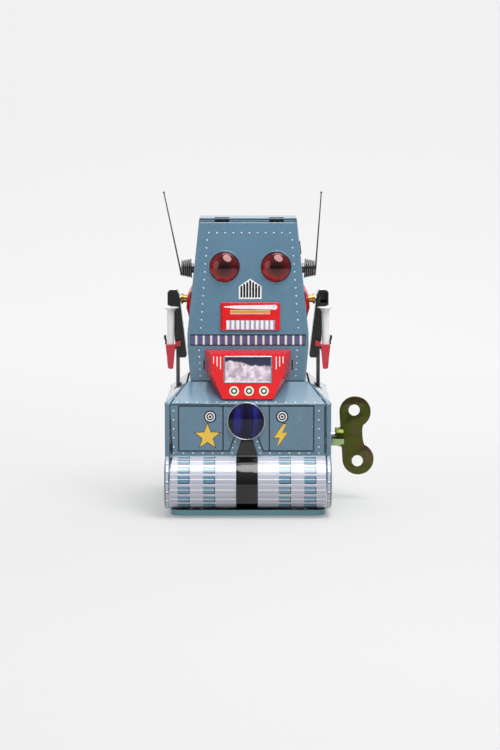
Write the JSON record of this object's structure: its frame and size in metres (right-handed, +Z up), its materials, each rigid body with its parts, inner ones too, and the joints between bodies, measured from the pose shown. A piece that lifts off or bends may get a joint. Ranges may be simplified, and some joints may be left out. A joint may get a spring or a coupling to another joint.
{
  "type": "wind up tin toy",
  "caption": "Wind-up tin robot bust on a boxy tracked base, with swinging arms, coil-sprung antennas, a butterfly winding key and clockwork that drives its wheels.",
  "frame": {"origin": "on the floor under the middle of the whole toy's box, key included", "axes": "+Z up, the face looks along -Y, the key is on the +X side"},
  "size_m": [0.1088, 0.1122, 0.1602],
  "materials": {
    "tin_blue": "gloss lithographed tin",
    "tin_teal": "gloss painted tin, worn at the edges",
    "tin_red": "gloss painted tin",
    "grip_red": "satin painted tin",
    "black_paint": "gloss black enamel",
    "bright_trim": "polished",
    "lens_navy": "polished translucent",
    "eye_red": "polished translucent",
    "screen_print": "printed tin under a bright frame",
    "brass": "satin",
    "cream_paint": "gloss enamel",
    "dark_wire": "blackened steel wire",
    "steel": "bright rolled steel",
    "zinc_olive": "olive chromated zinc plate",
    "wheel_black": "moulded"
  },
  "bodies": {
    "hull": {"base_plate": "tin_teal", "hull_wrap": "tin_blue", "side_pan_left": "tin_blue", "side_pan_right": "tin_blue", "centre_strip": "black_paint", "lens_bezel": "bright_trim", "front_lens": "lens_navy", "torso_front": "tin_blue", "torso_wrap": "tin_blue", "head_lid": "tin_blue", "head_tabs": "black_paint", "eye_left": "eye_red", "eye_right": "eye_red", "chest_housing": "tin_red", "chest_screen": "screen_print", "shoulder_disc_left": "tin_red", "shoulder_disc_right": "tin_red", "shoulder_pin_left": "steel", "shoulder_pin_right": "steel", "shoulder_spacer_left": "brass", "shoulder_spacer_right": "brass", "ear_boss_left": "dark_wire", "ear_boss_right": "dark_wire", "motor_plate_left": "steel", "motor_plate_right": "steel", "motor_pillars": "steel", "mainspring": "steel", "lever_pins": "steel"},
    "power_shaft": {"key": "zinc_olive", "winding_arbor": "steel", "great_gear": "brass", "ratchet_wheel": "steel"},
    "pawl": {"click": "steel"},
    "second_shaft": {"second_arbor": "steel", "second_gear": "brass"},
    "drive_axle": {"rear_axle": "steel", "rear_wheel_left": "wheel_black", "rear_wheel_right": "wheel_black"},
    "idle_axle": {"front_axle": "steel", "front_wheel_left": "wheel_black", "front_wheel_right": "wheel_black"},
    "governor": {"governor_arbor": "steel", "governor_weight": "brass"},
    "crank": {"crank_shaft": "steel", "crank_gear": "brass", "crank_disc_left": "steel", "crank_disc_right": "steel"},
    "left_lever": {"lever_left": "steel"},
    "right_lever": {"lever_right": "steel"},
    "left_arm": {"arm_left": "black_paint", "gun_barrel_left": "cream_paint", "gun_grip_left": "grip_red", "gun_trigger_left": "black_paint"},
    "right_arm": {"arm_right": "black_paint", "gun_barrel_right": "cream_paint", "gun_grip_right": "grip_red", "gun_trigger_right": "black_paint"},
    "left_antenna": {"antenna_left": "dark_wire"},
    "right_antenna": {"antenna_right": "dark_wire"}
  },
  "joints": [
    {"name": "drive_axle_spin", "type": "hinge", "parent": "hull", "child": "drive_axle", "pos_m": [-0.01076, 0.0271, 0.009], "axis": [1, 0, 0], "continuous": true},
    {"name": "key_turn", "type": "hinge", "parent": "hull", "child": "power_shaft", "pos_m": [-0.01076, 0.0041, 0.034], "axis": [1, 0, 0], "continuous": true},
    {"name": "pawl_lift", "type": "hinge", "parent": "power_shaft", "child": "pawl", "pos_m": [-0.01076, 0.00254, 0.02514], "axis": [1, 0, 0], "range_deg": [-12, 0], "stiffness_Nm_per_rad": 0.001},
    {"name": "second_spin", "type": "hinge", "parent": "hull", "child": "second_shaft", "pos_m": [-0.01076, 0.02175, 0.02572], "axis": [1, 0, 0], "continuous": true},
    {"name": "governor_spin", "type": "hinge", "parent": "hull", "child": "governor", "pos_m": [-0.01076, 0.02469, 0.04236], "axis": [1, 0, 0], "continuous": true},
    {"name": "crank_spin", "type": "hinge", "parent": "hull", "child": "crank", "pos_m": [-0.01076, -0.0039, 0.01201], "axis": [1, 0, 0], "continuous": true},
    {"name": "idle_axle_spin", "type": "hinge", "parent": "hull", "child": "idle_axle", "pos_m": [-0.01076, -0.0269, 0.009], "axis": [1, 0, 0], "continuous": true},
    {"name": "left_arm_swing", "type": "hinge", "parent": "hull", "child": "left_arm", "pos_m": [-0.01076, -0.0039, 0.1056], "axis": [1, 0, 0], "range_deg": [-12, 12]},
    {"name": "right_arm_swing", "type": "hinge", "parent": "hull", "child": "right_arm", "pos_m": [-0.01076, -0.0039, 0.1056], "axis": [1, 0, 0], "range_deg": [-12, 12]},
    {"name": "left_lever_rock", "type": "hinge", "parent": "hull", "child": "left_lever", "pos_m": [-0.01076, -0.0039, 0.028], "axis": [1, 0, 0], "range_deg": [-6, 6]},
    {"name": "right_lever_rock", "type": "hinge", "parent": "hull", "child": "right_lever", "pos_m": [-0.01076, -0.0039, 0.028], "axis": [1, 0, 0], "range_deg": [-6, 6]},
    {"name": "left_antenna_flex", "type": "hinge", "parent": "hull", "child": "left_antenna", "pos_m": [-0.01076, 0.0001, 0.1209], "axis": [1, 0, 0], "range_deg": [-20, 20], "stiffness_Nm_per_rad": 0.004},
    {"name": "right_antenna_flex", "type": "hinge", "parent": "hull", "child": "right_antenna", "pos_m": [-0.01076, 0.0001, 0.1209], "axis": [1, 0, 0], "range_deg": [-20, 20], "stiffness_Nm_per_rad": 0.004}
  ],
  "couplings": [
    {"joint": "key_turn", "follows": "drive_axle_spin", "ratio": 0.071429},
    {"joint": "second_spin", "follows": "drive_axle_spin", "ratio": -0.28571},
    {"joint": "governor_spin", "follows": "drive_axle_spin", "ratio": 1.2},
    {"joint": "crank_spin", "follows": "drive_axle_spin", "ratio": -0.14286},
    {"joint": "right_arm_swing", "follows": "left_arm_swing", "ratio": -1},
    {"joint": "left_lever_rock", "follows": "left_arm_swing", "ratio": -0.4781},
    {"joint": "right_lever_rock", "follows": "left_arm_swing", "ratio": 0.4781}
  ]
}
